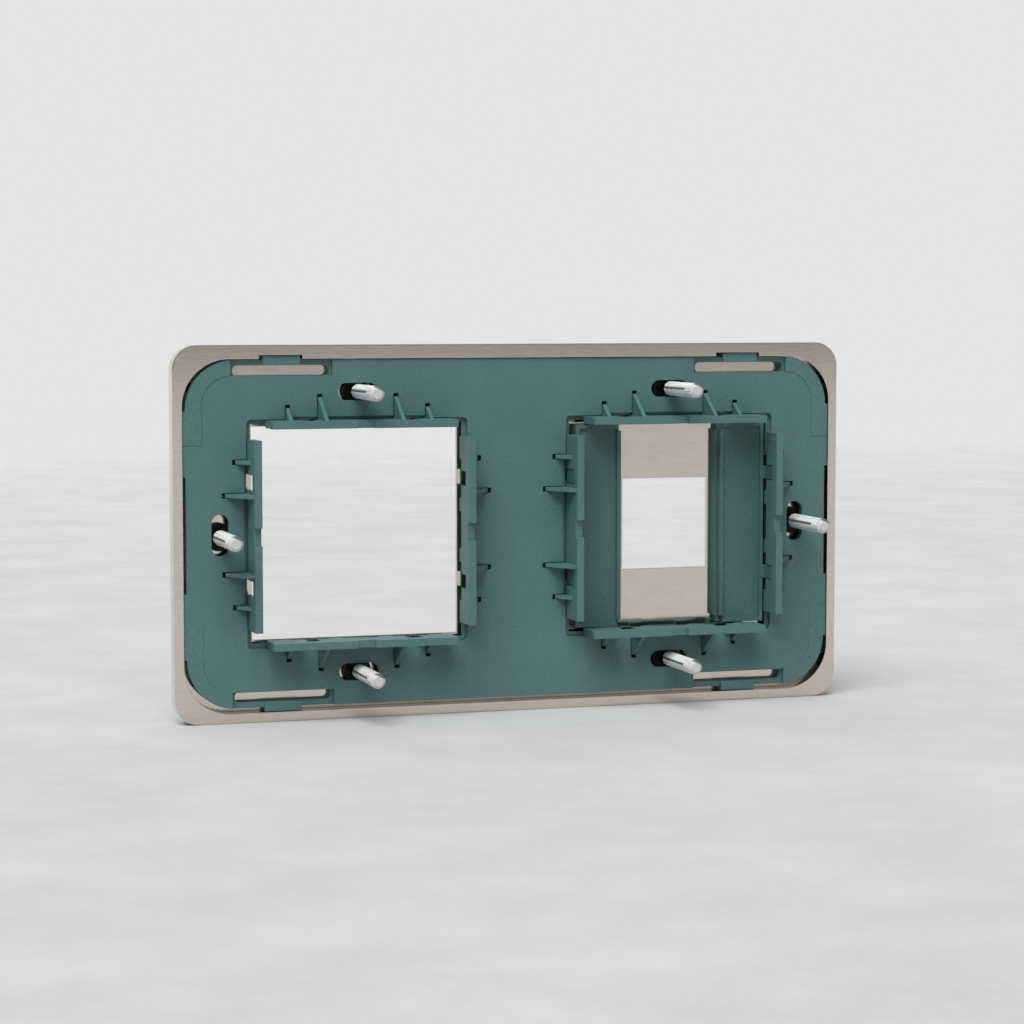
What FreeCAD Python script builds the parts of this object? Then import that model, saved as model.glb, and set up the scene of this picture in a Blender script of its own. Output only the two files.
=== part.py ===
import FreeCAD
import Part
import math
import os
import Sketcher

# A two-gang screwless wall plate for 45 mm wiring modules, in millimetres.
# X runs along the plate, Z is up, Y = 0 is the wall and -Y is the room side.
# A pocketed metal plate hides a moulded carrier, which is screwed to the wall box.
# One gang is open for modules, the other has two narrow blanks beside a small window.

SIZES = {
    # Metal face plate
    "plate_width": 151.0,
    "plate_height": 80.0,
    "plate_thick": 4.4,
    "plate_round": 5.2,
    "front_round": 0.6,
    "rim_side": 2.05,
    "rim_top": 2.95,
    "rim_bottom": 2.13,
    "rim_bevel": 0.2,
    "pocket_deep": 3.4,
    "pocket_round": 10.0,
    "window_large": 45.4,
    "window_small": 20.1,
    "notch_right_width": 9.3,
    "notch_right_shift": 0.25,
    "notch_left_width": 10.3,
    "notch_left_shift": -0.75,
    # Spacing shared by all pieces
    "gang_pitch": 71.0,
    "module_side": 45.0,
    "fix_reach": 30.0,
    # Moulded carrier
    "carrier_step": 0.35,
    "carrier_side_gap": 0.1,
    "carrier_top_gap": 0.15,
    "carrier_round": 10.5,
    "carrier_shoulder": 26.2,
    "carrier_shoulder_step": 0.6,
    "skin": 1.6,
    "shell_wall": 1.3,
    "centre_rib": 1.2,
    "hollow_height": 64.4,
    "side_recess_long": 24.6,
    "side_recess_deep": 0.6,
    "cutout_margin": 1.78,
    "cutout_round": 1.0,
    "ledge_drop": 1.0,
    "ledge_margin": 0.8,
    "ring_gap": 1.0,
    "ring_wall": 1.0,
    "wall_thick": 1.6,
    "wall_long": 40.3,
    "wall_rise": 6.9,
    "wall_notch_wide": 3.8,
    "wall_notch_deep": 1.25,
    "foot_relief_rise": 1.55,
    "foot_relief_mid": 8.0,
    "foot_relief_side": 8.4,
    "catch_at": 11.15,
    "catch_long": 3.3,
    "catch_top": 4.6,
    "gutter_long": 29.8,
    "gutter_wide": 0.5,
    "gutter_deep": 0.4,
    "gusset_thick": 0.85,
    "gusset_side_gap": 0.15,
    "gusset_toe_gap": 0.7,
    "inner_gusset_at": 8.35,
    "inner_gusset_reach": 7.09,
    "inner_gusset_rise": 6.3,
    "outer_gusset_at": 15.37,
    "outer_gusset_reach": 4.84,
    "outer_gusset_rise": 3.3,
    "screw_slot_long": 8.8,
    "screw_slot_wide": 3.7,
    "clip_shift": 16.6,
    "clip_slot_long": 20.9,
    "clip_slot_wide": 2.2,
    "clip_slot_round": 1.0,
    "clip_beam_long": 22.0,
    "clip_beam_wide": 1.2,
    "clip_beam_drop": 0.8,
    "clip_tab_long": 8.05,
    "clip_tab_gap": 0.1,
    "clip_tab_step": 0.1,
    "corner_pad_wide": 4.05,
    "corner_pad_from": 19.0,
    "corner_pad_round": 6.2,
    "corner_pad_rise": 0.1,
    # Narrow blanks
    "filler_wide": 11.1,
    "filler_end_gap": 0.2,
    "filler_side_gap": 0.35,
    "filler_flange": 0.7,
    "filler_flange_thick": 1.9,
    "filler_thick": 3.6,
    "filler_rim": 0.85,
    "filler_channel": 0.65,
    "filler_shell": 0.9,
    "filler_corner_long": 1.5,
    "filler_corner_wide": 0.55,
    "hook_gap": 0.2,
    "hook_tongue_thick": 1.2,
    "hook_leg_gap": 0.1,
    # Fixing screws
    "screw_thick": 3.2,
    "screw_neck_thick": 2.7,
    "screw_neck_taper": 0.25,
    "screw_long": 18.0,
    "screw_tip": 0.6,
    "screw_head_wide": 6.0,
    "screw_head_tall": 1.3,
    "screw_head_round": 0.4,
    "screw_drive_wide": 1.0,
    "screw_drive_deep": 0.6,
    "screw_head_gap": 0.2,
    "right_end_screw_drop": 0.45,
}

# Levels along Y, and places that several pieces share
FLOOR = "-Sizes.pocket_deep"
FACE = "-Sizes.carrier_step"
BODY_TALL = "(Sizes.pocket_deep - Sizes.carrier_step)"
HOLLOW_TALL = "(Sizes.pocket_deep - Sizes.carrier_step - Sizes.skin)"
SKIN_BACK = "(-Sizes.carrier_step - Sizes.skin)"
GANG = "Sizes.gang_pitch / 2"
HALF_MODULE = "Sizes.module_side / 2"
POCKET_WIDE = "(Sizes.plate_width - 2 * Sizes.rim_side)"
POCKET_TOP = "(Sizes.plate_height / 2 - Sizes.rim_top)"
CARRIER_WIDE = "(" + POCKET_WIDE + " - 2 * Sizes.carrier_side_gap)"
CARRIER_HALF_TALL = "(" + POCKET_TOP + " - Sizes.carrier_top_gap)"
CORNER_EDGE = "(" + CARRIER_WIDE + " / 2 - Sizes.carrier_shoulder_step)"
CUTOUT_HALF = "(Sizes.module_side / 2 + Sizes.cutout_margin)"
LEDGE_HALF = "(Sizes.module_side / 2 + Sizes.ledge_margin)"
WALL_BACK = "(Sizes.module_side / 2 + Sizes.wall_thick)"
CLIP_AT = "(Sizes.gang_pitch / 2 + Sizes.clip_shift)"
CLIP_BEAM_FOOT = "(" + CARRIER_HALF_TALL + " - Sizes.clip_beam_wide)"
CLIP_SLOT_FOOT = "(" + CLIP_BEAM_FOOT + " - Sizes.clip_slot_wide)"
NOTCH_TOP = "(Sizes.plate_height / 2 - Sizes.rim_bottom)"
HEAD_ROOM = "(Sizes.screw_head_wide + 2 * Sizes.screw_head_gap)"
HEAD_TRAVEL = "(Sizes.screw_slot_long - Sizes.screw_slot_wide)"
END_SCREW_AT = "(Sizes.gang_pitch / 2 + Sizes.fix_reach)"
FILLER_BACK = "(-Sizes.pocket_deep + Sizes.filler_thick)"
FILLER_OUT = "(Sizes.module_side / 2 - Sizes.filler_side_gap)"
FILLER_TALL = "(Sizes.module_side - 2 * Sizes.filler_end_gap)"

QUARTER = math.pi / 2

doc = FreeCAD.newDocument("wall_plate")


def fill_sheet():
    """Put every driving size in the sheet, with its name beside it."""
    sheet = doc.addObject("Spreadsheet::Sheet", "Sizes")
    for row, (name, value) in enumerate(SIZES.items(), start=1):
        sheet.set("A%d" % row, name)
        sheet.set("B%d" % row, str(value))
        sheet.setAlias("B%d" % row, name)
    doc.recompute()


def new_body(name):
    """Start one piece, labelled with the name of its file."""
    body = doc.addObject("PartDesign::Body", name)
    body.Label = name
    return body


def origin_plane(body, role):
    """Give one of the body's own origin planes."""
    return [item for item in body.Origin.OriginFeatures if item.Role == role][0]


def new_sketch(body, name, role, across="0", up="0", level="0"):
    """Attach a sketch to an origin plane and move its centre by expressions."""
    sketch = body.newObject("Sketcher::SketchObject", name)
    sketch.AttachmentSupport = [(origin_plane(body, role), "")]
    sketch.MapMode = "FlatFace"
    sketch.setExpression("AttachmentOffset.Base.x", across)
    sketch.setExpression("AttachmentOffset.Base.y", up)
    sketch.setExpression("AttachmentOffset.Base.z", level)
    return sketch


def front_sketch(body, name, across="0", up="0", level="0"):
    """A sketch parallel to the wall, at a level along Y."""
    return new_sketch(body, name, "XZ_Plane", across, up, "-(" + level + ")")


def size_constraint(sketch, constraint, expression):
    """Add a size to a sketch and tie it to the sheet."""
    index = sketch.addConstraint(constraint)
    sketch.setExpression("Constraints[%d]" % index, expression)


def add_rectangle(sketch, wide, tall):
    """Draw a rectangle about the sketch's own centre."""
    first = len(sketch.Geometry)
    half_wide = sheet_value(wide) / 2
    half_tall = sheet_value(tall) / 2
    corners = [(-1, -1), (1, -1), (1, 1), (-1, 1)]
    points = [FreeCAD.Vector(x * half_wide, y * half_tall, 0) for x, y in corners]
    for i in range(4):
        sketch.addGeometry(Part.LineSegment(points[i], points[(i + 1) % 4]), False)
    for i in range(4):
        sketch.addConstraint(Sketcher.Constraint("Coincident", first + i, 2, first + (i + 1) % 4, 1))
    for i in (0, 2):
        sketch.addConstraint(Sketcher.Constraint("Horizontal", first + i))
        sketch.addConstraint(Sketcher.Constraint("Vertical", first + i + 1))
    sketch.addConstraint(Sketcher.Constraint("Symmetric", first, 1, first + 1, 2, -1, 1))
    size_constraint(sketch, Sketcher.Constraint("DistanceX", first, 1, first, 2, 2.0), wide)
    size_constraint(sketch, Sketcher.Constraint("DistanceY", first + 1, 1, first + 1, 2, 2.0), tall)


def add_rounded_rectangle(sketch, wide, tall, radius):
    """Draw a rectangle with round corners about the sketch's own centre."""
    half_wide = sheet_value(wide) / 2
    half_tall = sheet_value(tall) / 2
    fillet = sheet_value(radius)
    in_x = half_wide - fillet
    in_y = half_tall - fillet
    sides = [
        ((-in_x, -half_tall), (in_x, -half_tall)),
        ((half_wide, -in_y), (half_wide, in_y)),
        ((in_x, half_tall), (-in_x, half_tall)),
        ((-half_wide, in_y), (-half_wide, -in_y)),
    ]
    centres = [(in_x, -in_y), (in_x, in_y), (-in_x, in_y), (-in_x, -in_y)]
    for (x0, y0), (x1, y1) in sides:
        line = Part.LineSegment(FreeCAD.Vector(x0, y0, 0), FreeCAD.Vector(x1, y1, 0))
        sketch.addGeometry(line, False)
    for i, (x, y) in enumerate(centres):
        circle = Part.Circle(FreeCAD.Vector(x, y, 0), FreeCAD.Vector(0, 0, 1), fillet)
        sketch.addGeometry(Part.ArcOfCircle(circle, (i - 1) * QUARTER, i * QUARTER), False)
    for i in range(4):
        sketch.addConstraint(Sketcher.Constraint("Tangent", i, 2, 4 + i, 1))
        sketch.addConstraint(Sketcher.Constraint("Tangent", 4 + i, 2, (i + 1) % 4, 1))
    for i in (0, 2):
        sketch.addConstraint(Sketcher.Constraint("Horizontal", i))
        sketch.addConstraint(Sketcher.Constraint("Vertical", i + 1))
    for i in (1, 2, 3):
        sketch.addConstraint(Sketcher.Constraint("Equal", 4, 4 + i))
    sketch.addConstraint(Sketcher.Constraint("Symmetric", 4, 3, 6, 3, -1, 1))
    size_constraint(sketch, Sketcher.Constraint("DistanceX", 3, 1, 1, 1, 2 * half_wide), wide)
    size_constraint(sketch, Sketcher.Constraint("DistanceY", 0, 1, 2, 1, 2 * half_tall), tall)
    size_constraint(sketch, Sketcher.Constraint("Radius", 4, fillet), radius)


def add_slot(sketch, travel, wide, upright):
    """Draw a slot with round ends about the sketch's own centre."""
    radius = sheet_value(wide) / 2
    along = FreeCAD.Vector(sheet_value(travel) / 2, 0, 0)
    side = FreeCAD.Vector(0, radius, 0)
    first = -QUARTER
    if upright:
        along = FreeCAD.Vector(0, sheet_value(travel) / 2, 0)
        side = FreeCAD.Vector(-radius, 0, 0)
        first = 0.0
    axis = FreeCAD.Vector(0, 0, 1)
    sketch.addGeometry(Part.LineSegment(-along - side, along - side), False)
    sketch.addGeometry(Part.LineSegment(along + side, -along + side), False)
    far_end = Part.Circle(along, axis, radius)
    near_end = Part.Circle(-along, axis, radius)
    sketch.addGeometry(Part.ArcOfCircle(far_end, first, first + 2 * QUARTER), False)
    sketch.addGeometry(Part.ArcOfCircle(near_end, first + 2 * QUARTER, first + 4 * QUARTER), False)
    sketch.addConstraint(Sketcher.Constraint("Tangent", 0, 2, 2, 1))
    sketch.addConstraint(Sketcher.Constraint("Tangent", 2, 2, 1, 1))
    sketch.addConstraint(Sketcher.Constraint("Tangent", 1, 2, 3, 1))
    sketch.addConstraint(Sketcher.Constraint("Tangent", 3, 2, 0, 1))
    for i in (0, 1):
        sketch.addConstraint(Sketcher.Constraint("Vertical" if upright else "Horizontal", i))
    sketch.addConstraint(Sketcher.Constraint("Symmetric", 2, 3, 3, 3, -1, 1))
    distance = "DistanceY" if upright else "DistanceX"
    size_constraint(sketch, Sketcher.Constraint(distance, 3, 3, 2, 3, 6.0), travel)
    size_constraint(sketch, Sketcher.Constraint("Radius", 2, 2.0), wide + " / 2")


def add_outline(sketch, points):
    """Draw a closed outline through named points, given as pairs of expressions."""
    count = len(points)
    rough = [FreeCAD.Vector(sheet_value(x), sheet_value(y), 0) for x, y in points]
    for i in range(count):
        sketch.addGeometry(Part.LineSegment(rough[i], rough[(i + 1) % count]), False)
    for i in range(count):
        sketch.addConstraint(Sketcher.Constraint("Coincident", i, 2, (i + 1) % count, 1))
    for i, (x, y) in enumerate(points):
        across = Sketcher.Constraint("DistanceX", -1, 1, i, 1, rough[i].x)
        size_constraint(sketch, across, x)
        up = Sketcher.Constraint("DistanceY", -1, 1, i, 1, rough[i].y)
        size_constraint(sketch, up, y)


def sheet_value(expression):
    """Work out an expression from the sheet, for a sketch's first guess."""
    value = doc.getObject("Sizes").evalExpression(expression)
    return float(getattr(value, "Value", value))


def pad(body, sketch, length, towards_wall=True):
    """Raise a sketch into a solid."""
    feature = body.newObject("PartDesign::Pad", sketch.Name + "_pad")
    feature.Profile = sketch
    feature.setExpression("Length", length)
    feature.Reversed = towards_wall
    doc.recompute()
    return feature


def pad_both_ways(body, sketch, length):
    """Raise a sketch equally to both sides."""
    feature = body.newObject("PartDesign::Pad", sketch.Name + "_pad")
    feature.Profile = sketch
    feature.SideType = "Symmetric"
    feature.setExpression("Length", length)
    doc.recompute()
    return feature


def pocket(body, sketch, depth, towards_wall=False):
    """Cut a sketch into the solid, and make sure that it cut something."""
    before = body.Shape.Volume
    feature = body.newObject("PartDesign::Pocket", sketch.Name + "_pocket")
    feature.Profile = sketch
    feature.setExpression("Length", depth)
    feature.Reversed = not towards_wall
    doc.recompute()
    if feature.Shape.Volume >= before:
        raise RuntimeError(feature.Name + " cuts nothing")
    return feature


def mirror(body, originals, role):
    """Repeat features across one of the body's origin planes."""
    feature = body.newObject("PartDesign::Mirrored", originals[0].Name + "_mirror")
    feature.Originals = originals
    feature.MirrorPlane = (origin_plane(body, role), [""])
    body.Tip = feature
    doc.recompute()
    return feature


def mirror_step(body, name, reference):
    """One mirror inside a combined pattern."""
    step = body.newObject("PartDesign::Mirrored", name)
    step.MirrorPlane = reference
    return step


def polar_step(body, name, axis_sketch):
    """Four turns about the centre of a gang, inside a combined pattern."""
    step = body.newObject("PartDesign::PolarPattern", name)
    step.Axis = (axis_sketch, ["N_Axis"])
    step.Angle = 360
    step.Occurrences = 4
    return step


def combine(body, name, originals, steps):
    """Repeat features by several steps in a row."""
    feature = body.newObject("PartDesign::MultiTransform", name)
    feature.Originals = originals
    feature.Transformations = steps
    body.Tip = feature
    doc.recompute()
    return feature


def make_face_plate():
    """Metal plate, pocketed from behind, with one large and one small window."""
    body = new_body("face_plate")
    outline = front_sketch(body, "plate_outline", level="-Sizes.plate_thick")
    add_rounded_rectangle(outline, "Sizes.plate_width", "Sizes.plate_height", "Sizes.plate_round")
    slab = pad(body, outline, "Sizes.plate_thick")
    middle = -SIZES["plate_thick"] / 2
    front = [
        "Edge%d" % number
        for number, edge in enumerate(slab.Shape.Edges, start=1)
        if edge.BoundBox.YMax < middle
    ]
    softened = body.newObject("PartDesign::Fillet", "front_edge")
    softened.Base = (slab, front)
    softened.setExpression("Radius", "Sizes.front_round")
    doc.recompute()
    rim = [
        "Edge%d" % number
        for number, edge in enumerate(softened.Shape.Edges, start=1)
        if edge.BoundBox.YMin > middle
    ]
    bevel = body.newObject("PartDesign::Chamfer", "back_edge")
    bevel.Base = (softened, rim)
    bevel.setExpression("Size", "Sizes.rim_bevel")
    doc.recompute()

    inside = front_sketch(body, "plate_pocket", up="(Sizes.rim_bottom - Sizes.rim_top) / 2")
    tall = "Sizes.plate_height - Sizes.rim_top - Sizes.rim_bottom"
    add_rounded_rectangle(inside, POCKET_WIDE, tall, "Sizes.pocket_round")
    pocket(body, inside, "Sizes.pocket_deep")

    centre = "(" + NOTCH_TOP + " + " + POCKET_TOP + ") / 2"
    tall = NOTCH_TOP + " - " + POCKET_TOP
    for side, sign in (("right", "1"), ("left", "-1")):
        across = "%s * (%s + Sizes.notch_%s_shift)" % (sign, CLIP_AT, side)
        notch = front_sketch(body, "notch_" + side, across, centre)
        add_rectangle(notch, "Sizes.notch_%s_width" % side, tall)
        pocket(body, notch, "Sizes.pocket_deep")

    for name, sign, side in (("large", "", "window_large"), ("small", "-", "window_small")):
        window = front_sketch(body, name + "_window", sign + GANG)
        add_rectangle(window, "Sizes." + side, "Sizes." + side)
        pocket(body, window, "Sizes.plate_thick")
    return body


def make_carrier_shell(body):
    """Carrier moulding: thin back face, outer wall, a shoulder at each corner and a hollow."""
    outline = front_sketch(body, "carrier_outline", level=FLOOR)
    add_rounded_rectangle(outline, "2 * " + CORNER_EDGE, "2 * " + CARRIER_HALF_TALL,
                          "Sizes.carrier_round")
    pad(body, outline, BODY_TALL)
    sides = front_sketch(body, "carrier_sides", level=FLOOR)
    add_rectangle(sides, CARRIER_WIDE, "2 * Sizes.carrier_shoulder")
    pad(body, sides, BODY_TALL)

    recess = front_sketch(body, "side_recess", CARRIER_WIDE + " / 2", level=FACE)
    add_rectangle(recess, "2 * Sizes.side_recess_deep", "Sizes.side_recess_long")
    mirror(body, [pocket(body, recess, BODY_TALL)], "YZ_Plane")

    far_side = "(" + CARRIER_WIDE + " / 2 - Sizes.shell_wall)"
    near_side = "(Sizes.centre_rib / 2)"
    hollow = front_sketch(body, "hollow", "(%s + %s) / 2" % (far_side, near_side), level=FLOOR)
    add_rectangle(hollow, far_side + " - " + near_side, "Sizes.hollow_height")
    hollow_cut = pocket(body, hollow, HOLLOW_TALL, towards_wall=True)
    ring = front_sketch(body, "opening_ring", GANG, level=FLOOR)
    inner = "2 * (" + CUTOUT_HALF + " + Sizes.ring_gap)"
    outer = "2 * (" + CUTOUT_HALF + " + Sizes.ring_gap + Sizes.ring_wall)"
    add_rectangle(ring, inner, inner)
    add_rectangle(ring, outer, outer)
    mirror(body, [hollow_cut, pad(body, ring, HOLLOW_TALL)], "YZ_Plane")


def make_carrier_openings(body):
    """Square cut-outs for the modules, with a ledge lower down in each corner."""
    cutout = front_sketch(body, "cutout", GANG, level=FACE)
    add_rounded_rectangle(cutout, "2 * " + CUTOUT_HALF, "2 * " + CUTOUT_HALF, "Sizes.cutout_round")
    shallow = pocket(body, cutout, "Sizes.ledge_drop")
    through = front_sketch(body, "ledge_opening", GANG, level=FACE)
    add_rectangle(through, "2 * " + LEDGE_HALF, "2 * " + LEDGE_HALF)
    deep = pocket(body, through, BODY_TALL)
    mirror(body, [shallow, deep], "YZ_Plane")
    return cutout


def make_spring_walls(body, centre):
    """Eight upstanding walls that hold the modules, each with its gutter and notches."""
    section = new_sketch(body, "wall_section", "YZ_Plane", level=GANG)
    add_outline(section, [
        (SKIN_BACK, LEDGE_HALF),
        (SKIN_BACK, WALL_BACK),
        ("Sizes.wall_rise", WALL_BACK),
        ("Sizes.wall_rise", HALF_MODULE),
        (FACE, HALF_MODULE),
        (FACE, LEDGE_HALF),
    ])
    wall = pad_both_ways(body, section, "Sizes.wall_long")

    gutter_middle = "(%s + %s + Sizes.gutter_wide) / 2" % (WALL_BACK, CUTOUT_HALF)
    gutter = front_sketch(body, "gutter", GANG, gutter_middle, FACE)
    add_rectangle(gutter, "Sizes.gutter_long", CUTOUT_HALF + " + Sizes.gutter_wide - " + WALL_BACK)
    gutter_cut = pocket(body, gutter, "Sizes.gutter_deep")

    notch = front_sketch(body, "wall_notch", GANG, "(%s + %s) / 2" % (WALL_BACK, HALF_MODULE),
                         "Sizes.wall_rise")
    add_rectangle(notch, "Sizes.wall_notch_wide", "2 * Sizes.wall_thick")
    notch_cut = pocket(body, notch, "Sizes.wall_notch_deep")

    relief_level = FACE + " + Sizes.foot_relief_rise"
    relief = front_sketch(body, "middle_relief", GANG, HALF_MODULE, relief_level)
    add_rectangle(relief, "Sizes.foot_relief_mid", "2 * Sizes.ledge_margin")
    relief_cut = pocket(body, relief, "Sizes.foot_relief_rise")

    steps = [
        polar_step(body, "wall_turns", centre),
        mirror_step(body, "wall_other_gang", (origin_plane(body, "YZ_Plane"), [""])),
    ]
    combine(body, "spring_walls", [wall, gutter_cut, notch_cut, relief_cut], steps)


def make_wall_details(body, centre):
    """Sixteen module catches, and thirty-two thin gussets, each in a slot of its own."""
    side_at = "(" + GANG + " + Sizes.catch_at)"
    catch_middle = "(%s + %s) / 2" % (HALF_MODULE, CUTOUT_HALF)
    catch = front_sketch(body, "catch", side_at, catch_middle, "Sizes.catch_top")
    add_rectangle(catch, "Sizes.catch_long", CUTOUT_HALF + " - " + HALF_MODULE)
    catch_cut = pocket(body, catch, "Sizes.catch_top + Sizes.carrier_step + Sizes.skin")
    relief = front_sketch(body, "side_relief", side_at, HALF_MODULE,
                          FACE + " + Sizes.foot_relief_rise")
    add_rectangle(relief, "Sizes.foot_relief_side", "2 * Sizes.ledge_margin")
    relief_cut = pocket(body, relief, "Sizes.foot_relief_rise")

    features = [catch_cut, relief_cut]
    for size in ("inner", "outer"):
        at = "(%s + Sizes.%s_gusset_at)" % (GANG, size)
        reach = "Sizes.%s_gusset_reach" % size
        toe = "(%s + %s)" % (HALF_MODULE, reach)
        slot = front_sketch(body, size + "_slot", at, "(%s + %s) / 2" % (WALL_BACK, toe), FACE)
        add_rectangle(slot, "Sizes.gusset_thick + 2 * Sizes.gusset_side_gap",
                      toe + " - " + WALL_BACK)
        features.append(pocket(body, slot, "Sizes.skin"))
        rib = new_sketch(body, size + "_gusset", "YZ_Plane", level=at)
        add_outline(rib, [
            (SKIN_BACK, WALL_BACK),
            (SKIN_BACK, toe + " - Sizes.gusset_toe_gap"),
            (FACE, toe + " - Sizes.gusset_toe_gap"),
            ("Sizes.%s_gusset_rise" % size, WALL_BACK),
        ])
        features.append(pad_both_ways(body, rib, "Sizes.gusset_thick"))
    steps = [
        mirror_step(body, "detail_other_half", (centre, ["V_Axis"])),
        polar_step(body, "detail_turns", centre),
        mirror_step(body, "detail_other_gang", (origin_plane(body, "YZ_Plane"), [""])),
    ]
    combine(body, "wall_details", features, steps)


def make_screw_slots(body):
    """Long holes for the six fixing screws, with room behind them for the heads."""
    slot = front_sketch(body, "gang_slot", GANG, "Sizes.fix_reach", FACE)
    add_slot(slot, HEAD_TRAVEL, "Sizes.screw_slot_wide", upright=False)
    slot_cut = pocket(body, slot, BODY_TALL)
    room = front_sketch(body, "gang_head_room", GANG, "Sizes.fix_reach", FLOOR)
    add_slot(room, HEAD_TRAVEL, HEAD_ROOM, upright=False)
    room_cut = pocket(body, room, HOLLOW_TALL, towards_wall=True)
    steps = [
        mirror_step(body, "slot_other_gang", (origin_plane(body, "YZ_Plane"), [""])),
        mirror_step(body, "slot_lower_half", (origin_plane(body, "XY_Plane"), [""])),
    ]
    combine(body, "gang_slots", [slot_cut, room_cut], steps)

    end = front_sketch(body, "end_slot", END_SCREW_AT, level=FACE)
    add_slot(end, HEAD_TRAVEL, "Sizes.screw_slot_wide", upright=True)
    mirror(body, [pocket(body, end, BODY_TALL)], "YZ_Plane")


def make_clips(body):
    """Four spring clips in recesses of the long edges, and a raised pad in each corner."""
    corner = make_corner_pad(body)
    recess_middle = "(%s + %s) / 2" % (CARRIER_HALF_TALL, CLIP_SLOT_FOOT)
    recess = front_sketch(body, "clip_recess", CLIP_AT, recess_middle,
                          FACE + " + Sizes.corner_pad_rise")
    add_rectangle(recess, "Sizes.clip_beam_long", CARRIER_HALF_TALL + " - " + CLIP_SLOT_FOOT)
    recess_cut = pocket(body, recess, "Sizes.clip_beam_drop + Sizes.corner_pad_rise")
    slot_middle = "(%s + %s) / 2" % (CLIP_BEAM_FOOT, CLIP_SLOT_FOOT)
    slot = front_sketch(body, "clip_slot", CLIP_AT, slot_middle, FACE)
    add_rounded_rectangle(slot, "Sizes.clip_slot_long", "Sizes.clip_slot_wide",
                          "Sizes.clip_slot_round")
    slot_cut = pocket(body, slot, BODY_TALL)
    tab_end = "(" + NOTCH_TOP + " - Sizes.clip_tab_gap)"
    tab = front_sketch(body, "clip_tab", CLIP_AT, "(%s + %s) / 2" % (tab_end, CLIP_BEAM_FOOT),
                       FLOOR + " + Sizes.clip_tab_gap")
    add_rectangle(tab, "Sizes.clip_tab_long", tab_end + " - " + CLIP_BEAM_FOOT)
    tab_pad = pad(body, tab, BODY_TALL + " - Sizes.clip_tab_gap - Sizes.clip_tab_step")
    steps = [
        mirror_step(body, "clip_other_gang", (origin_plane(body, "YZ_Plane"), [""])),
        mirror_step(body, "clip_lower_half", (origin_plane(body, "XY_Plane"), [""])),
    ]
    combine(body, "clips", [corner, recess_cut, slot_cut, tab_pad], steps)


def make_corner_pad(body):
    """The face stands a little higher in each corner, outside a line that rounds the corner."""
    sketch = front_sketch(body, "corner_pad", level=FACE)
    edge = "(" + CARRIER_WIDE + " / 2)"
    inner = "(" + edge + " - Sizes.corner_pad_wide)"
    inner_centre_x = "(" + inner + " - Sizes.corner_pad_round)"
    inner_centre_z = "(" + CLIP_SLOT_FOOT + " - Sizes.corner_pad_round)"
    outer_centre_x = "(" + CORNER_EDGE + " - Sizes.carrier_round)"
    outer_centre_z = "(" + CARRIER_HALF_TALL + " - Sizes.carrier_round)"
    x_edge, x_corner, x_inner = sheet_value(edge), sheet_value(CORNER_EDGE), sheet_value(inner)
    x_turn, x_top = sheet_value(inner_centre_x), sheet_value(outer_centre_x)
    z_start, z_step = sheet_value("Sizes.corner_pad_from"), sheet_value("Sizes.carrier_shoulder")
    z_turn, z_outer_turn = sheet_value(inner_centre_z), sheet_value(outer_centre_z)
    z_foot, z_top = sheet_value(CLIP_SLOT_FOOT), sheet_value(CARRIER_HALF_TALL)
    lines = [
        ((x_turn, z_foot), (x_top, z_foot)),
        ((x_top, z_foot), (x_top, z_top)),
        ((x_corner, z_outer_turn), (x_corner, z_step)),
        ((x_corner, z_step), (x_edge, z_step)),
        ((x_edge, z_step), (x_edge, z_start)),
        ((x_edge, z_start), (x_inner, z_start)),
        ((x_inner, z_start), (x_inner, z_turn)),
    ]
    for (x0, z0), (x1, z1) in lines:
        line = Part.LineSegment(FreeCAD.Vector(x0, z0, 0), FreeCAD.Vector(x1, z1, 0))
        sketch.addGeometry(line, False)
    axis = FreeCAD.Vector(0, 0, 1)
    for x, z, radius in ((x_turn, z_turn, x_inner - x_turn), (x_top, z_outer_turn, x_corner - x_top)):
        circle = Part.Circle(FreeCAD.Vector(x, z, 0), axis, radius)
        sketch.addGeometry(Part.ArcOfCircle(circle, 0, QUARTER), False)
    inner_arc = 7
    outer_arc = 8
    sketch.addConstraint(Sketcher.Constraint("Tangent", 6, 2, inner_arc, 1))
    sketch.addConstraint(Sketcher.Constraint("Tangent", inner_arc, 2, 0, 1))
    sketch.addConstraint(Sketcher.Constraint("Coincident", 1, 2, outer_arc, 2))
    sketch.addConstraint(Sketcher.Constraint("Tangent", outer_arc, 1, 2, 1))
    sketch.addConstraint(Sketcher.Constraint("Vertical", outer_arc, 3, outer_arc, 2))
    for i in (0, 2, 3, 4, 5):
        sketch.addConstraint(Sketcher.Constraint("Coincident", i, 2, i + 1, 1))
    for i in (1, 2, 4, 6):
        sketch.addConstraint(Sketcher.Constraint("Vertical", i))
    for i in (0, 3, 5):
        sketch.addConstraint(Sketcher.Constraint("Horizontal", i))
    places = [
        (4, 1, edge, "Sizes.carrier_shoulder"),
        (inner_arc, 3, inner_centre_x, inner_centre_z),
        (outer_arc, 3, outer_centre_x, outer_centre_z),
    ]
    for item, point, across, up in places:
        first_x, first_z = sheet_value(across), sheet_value(up)
        size_constraint(sketch, Sketcher.Constraint("DistanceX", -1, 1, item, point, first_x), across)
        size_constraint(sketch, Sketcher.Constraint("DistanceY", -1, 1, item, point, first_z), up)
    size_constraint(sketch, Sketcher.Constraint("DistanceY", -1, 1, 5, 2, z_start),
                    "Sizes.corner_pad_from")
    size_constraint(sketch, Sketcher.Constraint("Radius", inner_arc, x_inner - x_turn),
                    "Sizes.corner_pad_round")
    size_constraint(sketch, Sketcher.Constraint("Radius", outer_arc, x_corner - x_top),
                    "Sizes.carrier_round")
    return pad(body, sketch, "Sizes.corner_pad_rise")


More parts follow.
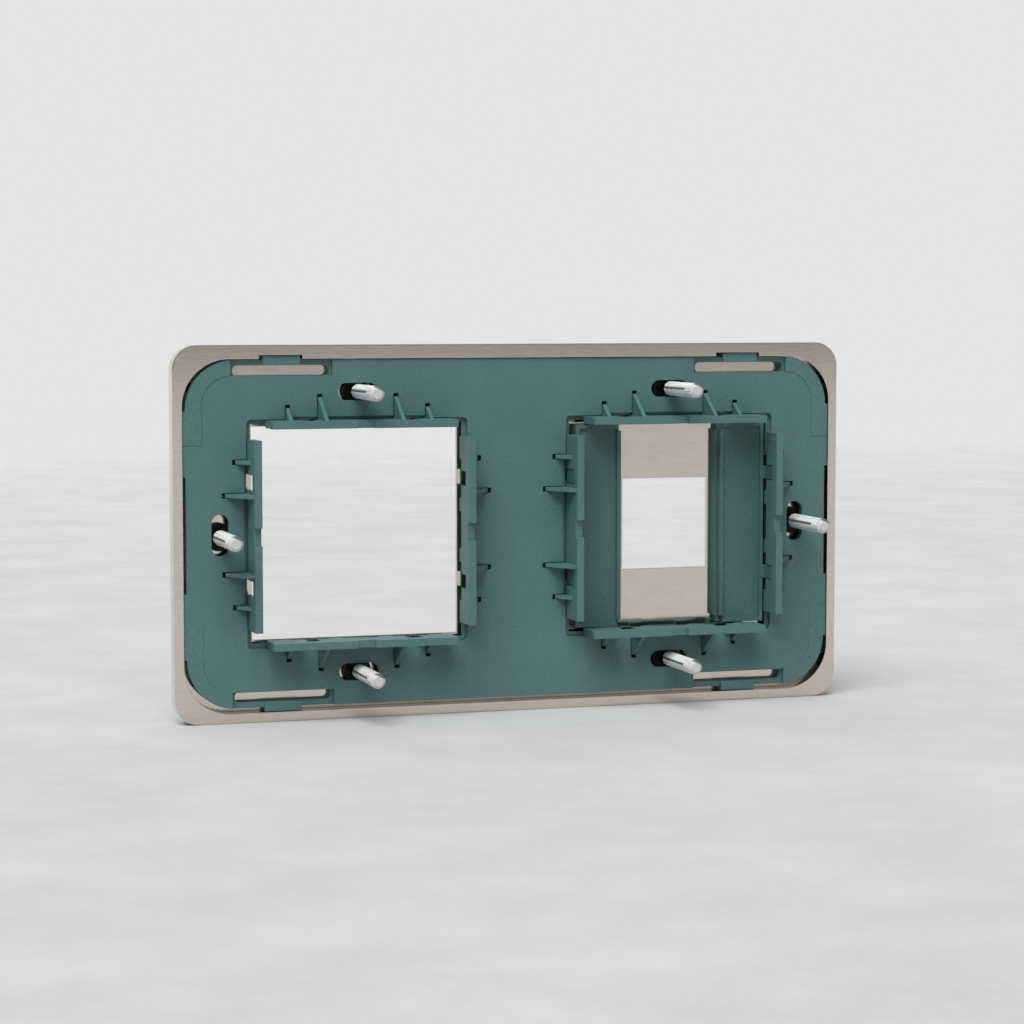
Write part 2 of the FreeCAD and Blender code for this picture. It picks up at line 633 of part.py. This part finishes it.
def make_carrier():
    """One-piece moulded carrier."""
    body = new_body("carrier")
    make_carrier_shell(body)
    make_screw_slots(body)
    make_clips(body)
    centre = make_carrier_openings(body)
    make_spring_walls(body, centre)
    make_wall_details(body, centre)
    return body


def make_filler(name, sign):
    """Narrow blank beside the small window; its hooks reach into two wall catches."""
    body = new_body(name)
    inner = "(" + FILLER_OUT + " - Sizes.filler_wide)"

    def between(low, high):
        return "%s * (%s + %s) / 2 - %s" % (sign, low, high, GANG)

    def block(part, low, high, tall, level):
        sketch = front_sketch(body, name + "_" + part, between(low, high), level=level)
        add_rectangle(sketch, high + " - " + low, tall)
        return sketch

    pad(body, block("flange", inner, FILLER_OUT, FILLER_TALL, FLOOR), "Sizes.filler_flange_thick")
    rim_in = "(" + inner + " + Sizes.filler_flange)"
    pad(body, block("top", rim_in, FILLER_OUT, FILLER_TALL, FLOOR), "Sizes.filler_thick")
    channel_in = "(" + rim_in + " + Sizes.filler_rim)"
    channel_out = "(" + FILLER_OUT + " - Sizes.filler_rim)"
    channel_tall = FILLER_TALL + " - 2 * Sizes.filler_rim"
    pocket(body, block("channel", channel_in, channel_out, channel_tall, FILLER_BACK),
           "Sizes.filler_channel")
    shell_in = "(" + rim_in + " + Sizes.filler_shell)"
    shell_out = "(" + FILLER_OUT + " - Sizes.filler_shell)"
    shell_tall = FILLER_TALL + " - 2 * Sizes.filler_shell"
    shell_deep = "Sizes.filler_thick - Sizes.filler_channel - Sizes.filler_shell"
    pocket(body, block("underside", shell_in, shell_out, shell_tall, FLOOR), shell_deep,
           towards_wall=True)

    end_at = "(" + FILLER_TALL + " / 2)"
    cut_to = "(" + inner + " + Sizes.filler_corner_wide)"
    foot = front_sketch(body, name + "_corner", between(inner, cut_to), end_at, FILLER_BACK)
    add_rectangle(foot, cut_to + " - " + inner, "2 * Sizes.filler_corner_long")
    foot_cut = pocket(body, foot, "Sizes.filler_thick")
    rim_cut_to = "(" + rim_in + " + Sizes.filler_rim)"
    rim = front_sketch(body, name + "_rim_end", between(inner, rim_cut_to), end_at, FILLER_BACK)
    add_rectangle(rim, rim_cut_to + " - " + inner, "2 * Sizes.filler_corner_long")
    rim_cut = pocket(body, rim, "Sizes.filler_thick - Sizes.filler_flange_thick")

    hook_long = "Sizes.catch_long - 2 * Sizes.hook_gap"
    leg_in = "(" + HALF_MODULE + " + Sizes.hook_leg_gap)"
    leg_out = "(" + WALL_BACK + " - Sizes.hook_gap)"
    tongue_level = FILLER_BACK + " - Sizes.hook_tongue_thick"
    tongue_in = "(" + FILLER_OUT + " - Sizes.filler_rim)"
    tongue = front_sketch(body, name + "_tongue", between(tongue_in, leg_out), "Sizes.catch_at",
                          tongue_level)
    add_rectangle(tongue, leg_out + " - " + tongue_in, hook_long)
    tongue_pad = pad(body, tongue, "Sizes.hook_tongue_thick")
    leg = front_sketch(body, name + "_leg", between(leg_in, leg_out), "Sizes.catch_at", tongue_level)
    add_rectangle(leg, leg_out + " - " + leg_in, hook_long)
    leg_pad = pad(body, leg, "Sizes.catch_top - Sizes.hook_leg_gap - (%s)" % tongue_level)
    mirror(body, [foot_cut, rim_cut, tongue_pad, leg_pad], "XY_Plane")
    return body


def make_screw(name, across, up):
    """Fixing screw: round head behind the carrier's face, thin neck in its hole, full shank
    from the wall plane on."""
    body = new_body(name)
    half = "Sizes.screw_thick / 2"
    neck = "Sizes.screw_neck_thick / 2"
    neck_end = "Sizes.carrier_step + Sizes.skin"
    head = "Sizes.screw_head_wide / 2"
    profile = new_sketch(body, name + "_profile", "XY_Plane", up=SKIN_BACK)
    add_outline(profile, [
        ("0", "-Sizes.screw_head_tall"),
        (head + " - Sizes.screw_head_round", "-Sizes.screw_head_tall"),
        (head, "-Sizes.screw_head_tall + Sizes.screw_head_round"),
        (head, "0"),
        (neck, "0"),
        (neck, neck_end + " - Sizes.screw_neck_taper"),
        (half, neck_end),
        (half, "Sizes.screw_long - Sizes.screw_tip"),
        (half + " - Sizes.screw_tip", "Sizes.screw_long"),
        ("0", "Sizes.screw_long"),
    ])
    turned = body.newObject("PartDesign::Revolution", name + "_turned")
    turned.Profile = profile
    turned.ReferenceAxis = (profile, ["V_Axis"])
    turned.Angle = 360
    doc.recompute()
    drive = front_sketch(body, name + "_drive", level=SKIN_BACK + " - Sizes.screw_head_tall")
    add_rectangle(drive, "2 * Sizes.screw_head_wide", "Sizes.screw_drive_wide")
    pocket(body, drive, "Sizes.screw_drive_deep", towards_wall=True)
    body.setExpression("Placement.Base.x", across)
    body.setExpression("Placement.Base.z", up)
    return body


def make_screws():
    """Six screws: one above and one below each opening, and one at each end of the plate."""
    screws = []
    for side, sign in (("right", ""), ("left", "-")):
        screws.append(make_screw("screw_%s_top" % side, sign + GANG, "Sizes.fix_reach"))
        screws.append(make_screw("screw_%s_bottom" % side, sign + GANG, "-Sizes.fix_reach"))
    screws.append(make_screw("screw_right_end", END_SCREW_AT, "-Sizes.right_end_screw_drop"))
    screws.append(make_screw("screw_left_end", "-" + END_SCREW_AT, "0"))
    return screws


def check_and_write(pieces):
    """Stop on any failed object or bad solid, then write one file for each piece."""
    doc.recompute()
    for item in doc.Objects:
        if "Invalid" in item.State or "Error" in item.State:
            raise RuntimeError(item.Name + " failed")
    for piece in pieces:
        shape = piece.Shape
        if shape.isNull() or not shape.isValid() or len(shape.Solids) != 1:
            raise RuntimeError(piece.Label + " is not one sound solid")
    os.makedirs("parts", exist_ok=True)
    for piece in pieces:
        piece.Shape.exportStep("parts/%s.step" % piece.Label)
        box = piece.Shape.BoundBox
        print(piece.Label, round(piece.Shape.Volume, 1), "mm3, box",
              [round(v, 2) for v in (box.XMin, box.YMin, box.ZMin, box.XMax, box.YMax, box.ZMax)])


fill_sheet()
made = [make_face_plate(), make_carrier()]
made.append(make_filler("filler_inner", "1"))
made.append(make_filler("filler_outer", "-1"))
made.extend(make_screws())
check_and_write(made)
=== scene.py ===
import math

import bmesh
import bpy
from mathutils import Matrix, Vector


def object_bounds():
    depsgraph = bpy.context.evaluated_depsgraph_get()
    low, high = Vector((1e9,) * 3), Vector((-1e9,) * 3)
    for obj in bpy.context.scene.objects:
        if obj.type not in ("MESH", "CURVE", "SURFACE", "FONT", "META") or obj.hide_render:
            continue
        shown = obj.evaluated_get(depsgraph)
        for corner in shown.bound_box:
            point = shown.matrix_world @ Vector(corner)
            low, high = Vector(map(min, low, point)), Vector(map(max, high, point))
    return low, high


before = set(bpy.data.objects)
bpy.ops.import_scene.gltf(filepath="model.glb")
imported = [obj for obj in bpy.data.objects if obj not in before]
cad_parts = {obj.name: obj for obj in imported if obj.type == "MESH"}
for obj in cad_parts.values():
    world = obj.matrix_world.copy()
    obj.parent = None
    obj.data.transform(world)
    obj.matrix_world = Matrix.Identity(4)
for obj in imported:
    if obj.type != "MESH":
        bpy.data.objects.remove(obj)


def plain_box(bounds):
    low, high = bounds
    return [list(low), list(high)]


cad_box = plain_box(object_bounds())

# The camera stands behind the plate and a little to its right, slightly above it, where the
# photograph was taken. Its lens is a long one.
camera_place = Vector((0.17618, 0.55040, 0.04823))
camera_turn = math.radians(17.631)
camera_dip = math.radians(4.427)
view_line = Vector((
    -math.sin(camera_turn) * math.cos(camera_dip),
    -math.cos(camera_turn) * math.cos(camera_dip),
    -math.sin(camera_dip),
))
camera_data = bpy.data.cameras.new("camera")
camera_data.lens = 93.72
camera_data.sensor_width = 36.0
camera_data.clip_start = 0.01
camera = bpy.data.objects.new("camera", camera_data)
camera.matrix_world = (
    Matrix.Translation(camera_place) @ view_line.to_track_quat("-Z", "Y").to_matrix().to_4x4()
)
bpy.context.scene.collection.objects.link(camera)
bpy.context.scene.camera = camera
bpy.context.scene.view_settings.view_transform = "Standard"


# The room is a pale floor of fine screed that the plate stands on, and a plain pale wall nearly a
# metre behind it. The floor turns up into the wall in a small curve, so they meet in a soft line.
floor_level = cad_box[0][2]
wall_foot_left = Vector((-0.275, -0.923, floor_level))
wall_foot_right = Vector((-0.585, -0.921, floor_level))
room_reach = 4.0
cove_radius = 0.03
cove_steps = 8
paint_from = floor_level + 0.0005
paint_full = floor_level + 0.0075
screed_colour = (0.482, 0.482, 0.482, 1.0)
wall_colour = (0.776, 0.776, 0.776, 1.0)


def shader_material(name):
    """A new material with an empty node tree."""
    material = bpy.data.materials.new(name)
    material.use_nodes = True
    material.node_tree.nodes.clear()
    return material


def add_node(tree, kind, x, y, settings=None, **inputs):
    """Add a node at a place in the editor, with its settings and the values of its inputs."""
    node = tree.nodes.new(kind)
    node.location = (x, y)
    for key, value in (settings or {}).items():
        setattr(node, key, value)
    for key, value in inputs.items():
        node.inputs[key.replace("_", " ")].default_value = value
    return node


def join(tree, source, target):
    """Link two sockets, each given as a node and the name or number of its socket."""
    tree.links.new(source[0].outputs[source[1]], target[0].inputs[target[1]])


# The camera and every mirror see the wall in its own even colour. For all other rays it is a
# painted wall that the lamps light, and the floor is lit for every ray.
room_paint = shader_material("room_paint")
tree = room_paint.node_tree
place = add_node(tree, "ShaderNodeTexCoord", -1300, 0)
axes = add_node(tree, "ShaderNodeSeparateXYZ", -1100, 300)
on_wall = add_node(tree, "ShaderNodeMapRange", -900, 300, {"interpolation_type": "SMOOTHSTEP"},
                   From_Min=paint_from, From_Max=paint_full)
mottle = add_node(tree, "ShaderNodeTexNoise", -1100, -100, Scale=38.0, Detail=8.0, Roughness=0.65)
mottle_level = add_node(tree, "ShaderNodeMapRange", -900, -100, From_Min=0.25, From_Max=0.75,
                        To_Min=0.918, To_Max=1.082)
screed = add_node(tree, "ShaderNodeMix", -700, -50, {"data_type": "RGBA", "blend_type": "MULTIPLY"})
screed.inputs["Factor"].default_value = 1.0
screed.inputs["A"].default_value = screed_colour
rays = add_node(tree, "ShaderNodeLightPath", -1100, 600)
seen = add_node(tree, "ShaderNodeMath", -900, 600, {"operation": "MAXIMUM"})
shown = add_node(tree, "ShaderNodeMath", -700, 600, {"operation": "MAXIMUM"})
glow = add_node(tree, "ShaderNodeMath", -500, 500, {"operation": "MULTIPLY"})
painted = add_node(tree, "ShaderNodeMath", -700, 200, {"operation": "SUBTRACT"})
paint = add_node(tree, "ShaderNodeMix", -500, 100, {"data_type": "RGBA"})
paint.inputs["B"].default_value = wall_colour
unlit = add_node(tree, "ShaderNodeMix", -300, 100, {"data_type": "RGBA"})
unlit.inputs["B"].default_value = (0.0, 0.0, 0.0, 1.0)
surface = add_node(tree, "ShaderNodeBsdfPrincipled", 0, 0, Roughness=0.95)
surface.inputs["Specular IOR Level"].default_value = 0.1
surface.inputs["Emission Color"].default_value = wall_colour
output = add_node(tree, "ShaderNodeOutputMaterial", 300, 0)
join(tree, (place, "Object"), (axes, "Vector"))
join(tree, (axes, "Z"), (on_wall, "Value"))
join(tree, (place, "Object"), (mottle, "Vector"))
join(tree, (mottle, "Fac"), (mottle_level, "Value"))
join(tree, (mottle_level, "Result"), (screed, "B"))
join(tree, (rays, "Is Camera Ray"), (seen, 0))
join(tree, (rays, "Is Glossy Ray"), (seen, 1))
join(tree, (seen, 0), (shown, 0))
join(tree, (rays, "Is Transmission Ray"), (shown, 1))
join(tree, (shown, 0), (glow, 0))
join(tree, (on_wall, "Result"), (glow, 1))
join(tree, (on_wall, "Result"), (painted, 0))
join(tree, (glow, 0), (painted, 1))
join(tree, (painted, 0), (paint, "Factor"))
join(tree, (screed, "Result"), (paint, "A"))
join(tree, (glow, 0), (unlit, "Factor"))
join(tree, (paint, "Result"), (unlit, "A"))
join(tree, (unlit, "Result"), (surface, "Base Color"))
join(tree, (glow, 0), (surface, "Emission Strength"))
join(tree, (surface, "BSDF"), (output, "Surface"))

along_wall = (wall_foot_right - wall_foot_left).normalized()
out_of_wall = Vector((along_wall.y, -along_wall.x, 0))
profile = [wall_foot_left + out_of_wall * room_reach]
for step in range(cove_steps + 1):
    angle = math.pi / 2 * step / cove_steps
    lean = cove_radius * (1 - math.sin(angle))
    rise = cove_radius * (1 - math.cos(angle))
    profile.append(wall_foot_left + out_of_wall * lean + Vector((0, 0, rise)))
profile.append(wall_foot_left + Vector((0, 0, room_reach)))
room = bmesh.new()
line = [room.verts.new(point - along_wall * room_reach) for point in profile]
edges = [room.edges.new(pair) for pair in zip(line, line[1:])]
swept = bmesh.ops.extrude_edge_only(room, edges=edges)
moved = [item for item in swept["geom"] if isinstance(item, bmesh.types.BMVert)]
bmesh.ops.translate(room, verts=moved, vec=along_wall * 2 * room_reach)
room_mesh = bpy.data.meshes.new("room")
room.to_mesh(room_mesh)
room.free()
room_mesh.materials.append(room_paint)
room_mesh.shade_smooth()
room_piece = bpy.data.objects.new("room", room_mesh)
bpy.context.scene.collection.objects.link(room_piece)

# Light comes evenly from all round, and from one large soft source high up on the camera's side.
# Mirrors don't show that source, as it would whiten the plate's edges and the screws.
world = bpy.data.worlds.new("studio")
world.use_nodes = True
world.node_tree.nodes["Background"].inputs["Color"].default_value = (1.0, 1.0, 1.0, 1.0)
world.node_tree.nodes["Background"].inputs["Strength"].default_value = 0.33
bpy.context.scene.world = world
overhead_data = bpy.data.lights.new("overhead", "SUN")
overhead_data.energy = 3.56
overhead_data.angle = math.radians(45)
overhead = bpy.data.objects.new("overhead", overhead_data)
shine = Vector((-0.38, -0.56, -1.0))
overhead.matrix_world = shine.to_track_quat("-Z", "Y").to_matrix().to_4x4()
bpy.context.scene.collection.objects.link(overhead)
overhead.visible_glossy = False


# The face plate is one piece of warm grey metal, pocketed from behind. Its surface is brushed
# along its length and mirrors the room nearly sharply.
plate_metal = shader_material("plate_metal")
tree = plate_metal.node_tree
place = add_node(tree, "ShaderNodeTexCoord", -1100, 0)
stretch = add_node(tree, "ShaderNodeMapping", -900, 0, Scale=(260.0, 1900.0, 1900.0))
brush = add_node(tree, "ShaderNodeTexNoise", -700, 0, Scale=1.0, Detail=4.0, Roughness=0.6)
cloud = add_node(tree, "ShaderNodeTexNoise", -700, -250, Scale=70.0, Detail=4.0, Roughness=0.6)
tint = add_node(tree, "ShaderNodeValToRGB", -450, 200)
tint.color_ramp.elements[0].position = 0.25
tint.color_ramp.elements[0].color = (0.670, 0.598, 0.528, 1)
tint.color_ramp.elements[1].position = 0.75
tint.color_ramp.elements[1].color = (0.752, 0.682, 0.613, 1)
gloss = add_node(tree, "ShaderNodeMapRange", -450, -50, To_Min=0.07, To_Max=0.12)
soft_edge = add_node(tree, "ShaderNodeBevel", -450, -500, {"samples": 4}, Radius=0.0002)
relief = add_node(tree, "ShaderNodeBump", -200, -300, Strength=0.10, Distance=0.00002)
surface = add_node(tree, "ShaderNodeBsdfPrincipled", 0, 0, Metallic=1.0)
output = add_node(tree, "ShaderNodeOutputMaterial", 300, 0)
join(tree, (place, "Object"), (stretch, "Vector"))
join(tree, (stretch, "Vector"), (brush, "Vector"))
join(tree, (place, "Object"), (cloud, "Vector"))
join(tree, (brush, "Fac"), (tint, "Fac"))
join(tree, (cloud, "Fac"), (gloss, "Value"))
join(tree, (tint, "Color"), (surface, "Base Color"))
join(tree, (gloss, "Result"), (surface, "Roughness"))
join(tree, (brush, "Fac"), (relief, "Height"))
join(tree, (soft_edge, "Normal"), (relief, "Normal"))
join(tree, (relief, "Normal"), (surface, "Normal"))
join(tree, (surface, "BSDF"), (output, "Surface"))


def dress(node, material):
    """Give a piece of the frame its finish."""
    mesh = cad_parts[node].data
    mesh.materials.clear()
    mesh.materials.append(material)


dress("face_plate", plate_metal)


# The carrier is one moulding of grey green nylon, clipped into the plate. The mould is spark
# eroded, which leaves a fine even grain on every face.
def moulded_nylon(name, dark, light):
    """Fine grained nylon, whose tone drifts between a darker and a lighter one."""
    material = shader_material(name)
    tree = material.node_tree
    place = add_node(tree, "ShaderNodeTexCoord", -1100, 0)
    grain = add_node(tree, "ShaderNodeTexNoise", -800, -100, Scale=2600.0, Detail=2.0, Roughness=0.6)
    flow = add_node(tree, "ShaderNodeTexNoise", -800, 200, Scale=60.0, Detail=3.0)
    fleck = add_node(tree, "ShaderNodeMapRange", -600, 0, From_Min=0.25, From_Max=0.75,
                     To_Min=0.80, To_Max=1.20)
    drift = add_node(tree, "ShaderNodeValToRGB", -600, 300)
    drift.color_ramp.elements[0].position = 0.3
    drift.color_ramp.elements[0].color = dark
    drift.color_ramp.elements[1].position = 0.7
    drift.color_ramp.elements[1].color = light
    tone = add_node(tree, "ShaderNodeMix", -300, 200, {"data_type": "RGBA", "blend_type": "MULTIPLY"})
    tone.inputs["Factor"].default_value = 1.0
    soft_edge = add_node(tree, "ShaderNodeBevel", -450, -400, {"samples": 4}, Radius=0.00015)
    relief = add_node(tree, "ShaderNodeBump", -200, -200, Strength=0.35, Distance=0.00002)
    surface = add_node(tree, "ShaderNodeBsdfPrincipled", 0, 0, Roughness=0.55)
    output = add_node(tree, "ShaderNodeOutputMaterial", 300, 0)
    join(tree, (place, "Object"), (grain, "Vector"))
    join(tree, (place, "Object"), (flow, "Vector"))
    join(tree, (grain, "Fac"), (fleck, "Value"))
    join(tree, (flow, "Fac"), (drift, "Fac"))
    join(tree, (drift, "Color"), (tone, "A"))
    join(tree, (fleck, "Result"), (tone, "B"))
    join(tree, (tone, "Result"), (surface, "Base Color"))
    join(tree, (grain, "Fac"), (relief, "Height"))
    join(tree, (soft_edge, "Normal"), (relief, "Normal"))
    join(tree, (relief, "Normal"), (surface, "Normal"))
    join(tree, (surface, "BSDF"), (output, "Surface"))
    return material


dress("carrier", moulded_nylon("carrier_plastic", (0.066, 0.147, 0.144, 1), (0.076, 0.164, 0.160, 1)))


# The two narrow blanks are mouldings of the same nylon, painted a little darker as the shade of the
# deep bay they sit in. Each one's hooks snap into two catches.
bay_shaded_plastic = moulded_nylon("bay_shaded_plastic", (0.049, 0.112, 0.111, 1), (0.058, 0.128, 0.125, 1))
for blank in ("filler_inner", "filler_outer"):
    dress(blank, bay_shaded_plastic)


# The six fixing screws are turned steel. The shank has a bright zinc coat with streaks along its
# length.
# A grey line along one side of it is a painted reflection of the dark slot, and a dark crescent on
# the tip is a painted reflection too. The neck and the head, down in the slot, are painted near black
# as shade.
# Lengths are in metres along the screw, from the back of the plate, or outward from its axis.
neck_end = -0.0003
# A grey line along the shank is a painted reflection of the dark slot; these numbers place it.
reflected_line_half = 0.00019
reflected_line_height = 0.00030
reflected_line_to = 0.0122
# A dark crescent on the tip's chamfer is a painted reflection; these numbers place it.
reflected_crescent_foot = 0.0150
reflected_crescent_from = 0.0009
reflected_crescent_side = (-0.42, 0.0, 0.91)
tip_from = 0.0154
tip_share = 0.8
blur = 0.0001
zinc_dark = (0.42, 0.42, 0.43, 1)
zinc_light = (0.84, 0.84, 0.84, 1)
reflected_line_grey = (0.12, 0.12, 0.12, 1)
cut_steel = (0.48, 0.48, 0.48, 1)
# Near black, painted as the shade down in the slot, on the neck and the head.
slot_shade_black = (0.014, 0.015, 0.015, 1)


def screw_coat(name, across, up):
    """The coat of the screw whose axis is at a place on the plate, with its painted reflections and
    painted shade.
    """
    material = shader_material(name)
    tree = material.node_tree
    place = add_node(tree, "ShaderNodeTexCoord", -1700, 0)
    centred = add_node(tree, "ShaderNodeMapping", -1500, 0, Location=(-across, 0.0, -up))
    axes = add_node(tree, "ShaderNodeSeparateXYZ", -1300, 0)
    # Painted reflection: a grey line just above the axis, on one side, ending before the tip.
    above = add_node(tree, "ShaderNodeMath", -1100, -200, {"operation": "SUBTRACT"})
    above.inputs[1].default_value = reflected_line_height
    off_reflected_line = add_node(tree, "ShaderNodeMath", -1000, -300, {"operation": "ABSOLUTE"})
    on_reflected_line = add_node(tree, "ShaderNodeMapRange", -850, -200, From_Min=reflected_line_half + blur,
                       From_Max=reflected_line_half)
    this_side = add_node(tree, "ShaderNodeMapRange", -850, -450, From_Min=0.0, From_Max=blur)
    before_end = add_node(tree, "ShaderNodeMapRange", -850, 350, From_Min=reflected_line_to + 3 * blur,
                          From_Max=reflected_line_to)
    # Painted reflection: a dark crescent on one side of the tip's chamfer.
    toward_reflected_crescent = add_node(tree, "ShaderNodeVectorMath", -1100, -700, {"operation": "DOT_PRODUCT"})
    toward_reflected_crescent.inputs[1].default_value = reflected_crescent_side
    on_reflected_crescent = add_node(tree, "ShaderNodeMapRange", -850, -700, From_Min=reflected_crescent_from,
                       From_Max=reflected_crescent_from + 2 * blur)
    at_reflected_crescent = add_node(tree, "ShaderNodeMapRange", -850, 100, From_Min=reflected_crescent_foot,
                       From_Max=reflected_crescent_foot + blur)
    at_tip = add_node(tree, "ShaderNodeMapRange", -500, 400, From_Min=tip_from - blur,
                      From_Max=tip_from, To_Max=tip_share)
    facing = add_node(tree, "ShaderNodeMath", -650, -300, {"operation": "MULTIPLY"})
    reflected_line = add_node(tree, "ShaderNodeMath", -500, -100, {"operation": "MULTIPLY"})
    reflected_crescent = add_node(tree, "ShaderNodeMath", -500, -500, {"operation": "MULTIPLY"})
    painted_reflections = add_node(tree, "ShaderNodeMath", -350, -300, {"operation": "MAXIMUM"})
    bright = add_node(tree, "ShaderNodeMapRange", -850, 600, From_Min=neck_end - 2 * blur,
                      From_Max=neck_end)
    metal = add_node(tree, "ShaderNodeMapRange", -500, 600, To_Min=1.0, To_Max=0.10)
    drawn = add_node(tree, "ShaderNodeMapping", -1500, -1000, Scale=(2600.0, 60.0, 2600.0))
    scratch = add_node(tree, "ShaderNodeTexNoise", -1300, -1000, Scale=1.0, Detail=3.0)
    gloss = add_node(tree, "ShaderNodeMapRange", -850, -1000, To_Min=0.30, To_Max=0.45)
    grain = add_node(tree, "ShaderNodeValToRGB", -850, 900)
    grain.color_ramp.elements[0].position = 0.28
    grain.color_ramp.elements[0].color = zinc_dark
    grain.color_ramp.elements[1].position = 0.52
    grain.color_ramp.elements[1].color = zinc_light
    zinc = add_node(tree, "ShaderNodeMix", -350, 100, {"data_type": "RGBA"})
    zinc.inputs["B"].default_value = cut_steel
    with_reflections = add_node(tree, "ShaderNodeMix", -180, 0, {"data_type": "RGBA"})
    with_reflections.inputs["B"].default_value = reflected_line_grey
    coat_and_shade = add_node(tree, "ShaderNodeMix", 0, 200, {"data_type": "RGBA"})
    coat_and_shade.inputs["A"].default_value = slot_shade_black
    surface = add_node(tree, "ShaderNodeBsdfPrincipled", 200, 0)
    output = add_node(tree, "ShaderNodeOutputMaterial", 500, 0)
    join(tree, (place, "Object"), (centred, "Vector"))
    join(tree, (centred, "Vector"), (axes, "Vector"))
    join(tree, (axes, "Z"), (above, 0))
    join(tree, (above, 0), (off_reflected_line, 0))
    join(tree, (off_reflected_line, 0), (on_reflected_line, "Value"))
    join(tree, (axes, "X"), (this_side, "Value"))
    for part in (before_end, bright, at_reflected_crescent, at_tip):
        join(tree, (axes, "Y"), (part, "Value"))
    join(tree, (centred, "Vector"), (toward_reflected_crescent, 0))
    join(tree, (toward_reflected_crescent, "Value"), (on_reflected_crescent, "Value"))
    join(tree, (on_reflected_line, "Result"), (facing, 0))
    join(tree, (this_side, "Result"), (facing, 1))
    join(tree, (facing, 0), (reflected_line, 0))
    join(tree, (before_end, "Result"), (reflected_line, 1))
    join(tree, (on_reflected_crescent, "Result"), (reflected_crescent, 0))
    join(tree, (at_reflected_crescent, "Result"), (reflected_crescent, 1))
    join(tree, (reflected_line, 0), (painted_reflections, 0))
    join(tree, (reflected_crescent, 0), (painted_reflections, 1))
    join(tree, (place, "Object"), (drawn, "Vector"))
    join(tree, (drawn, "Vector"), (scratch, "Vector"))
    join(tree, (scratch, "Fac"), (gloss, "Value"))
    join(tree, (scratch, "Fac"), (grain, "Fac"))
    join(tree, (bright, "Result"), (metal, "Value"))
    join(tree, (at_tip, "Result"), (zinc, "Factor"))
    join(tree, (grain, "Color"), (zinc, "A"))
    join(tree, (painted_reflections, 0), (with_reflections, "Factor"))
    join(tree, (zinc, "Result"), (with_reflections, "A"))
    # Painted shade: below the neck, down in the slot, the screw is near black.
    join(tree, (bright, "Result"), (coat_and_shade, "Factor"))
    join(tree, (with_reflections, "Result"), (coat_and_shade, "B"))
    join(tree, (coat_and_shade, "Result"), (surface, "Base Color"))
    join(tree, (metal, "Result"), (surface, "Metallic"))
    join(tree, (gloss, "Result"), (surface, "Roughness"))
    join(tree, (surface, "BSDF"), (output, "Surface"))
    return material


for screw, across, up in (
    ("right_top", 0.0355, 0.030),
    ("right_bottom", 0.0355, -0.030),
    ("right_end", 0.0655, -0.00045),
    ("left_top", -0.0355, 0.030),
    ("left_bottom", -0.0355, -0.030),
    ("left_end", -0.0655, 0.0),
):
    dress("screw_" + screw, screw_coat("screw_zinc_" + screw, across, up))
